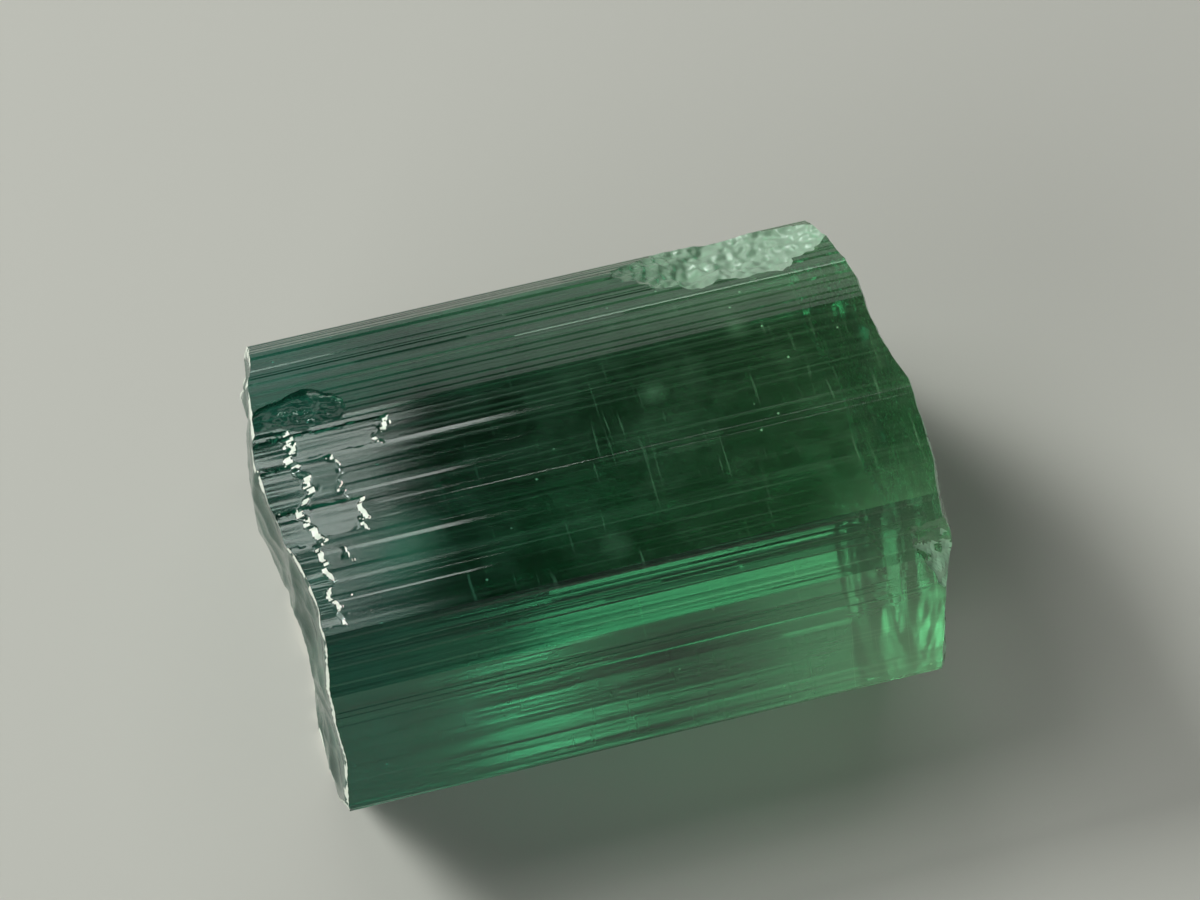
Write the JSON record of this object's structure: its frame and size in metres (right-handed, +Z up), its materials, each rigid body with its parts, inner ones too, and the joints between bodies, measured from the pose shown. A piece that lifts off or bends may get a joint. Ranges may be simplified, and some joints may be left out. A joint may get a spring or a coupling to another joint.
{
  "type": "tourmaline crystal",
  "caption": "Stubby green tourmaline crystal: a rounded prism ribbed by growth striae along its length, broken across both ends and chipped along one edge.",
  "frame": {"origin": "Bottom centre of the bounding box, on the surface that the crystal rests on.", "axes": "+X along the crystal's length and its striae, towards the end beside the long-edge chip; +Y towards the back, the side with the chip; +Z up."},
  "size_m": [0.0198, 0.0164, 0.0126],
  "materials": {
    "green_tourmaline": "Clear deep green gem crystal, bluish at one end and yellowish at the other, with a glassy lustre on its striated faces and a frosted, pale green chip."
  },
  "bodies": {
    "root": {"tourmaline_crystal": "green_tourmaline"}
  },
  "joints": []
}
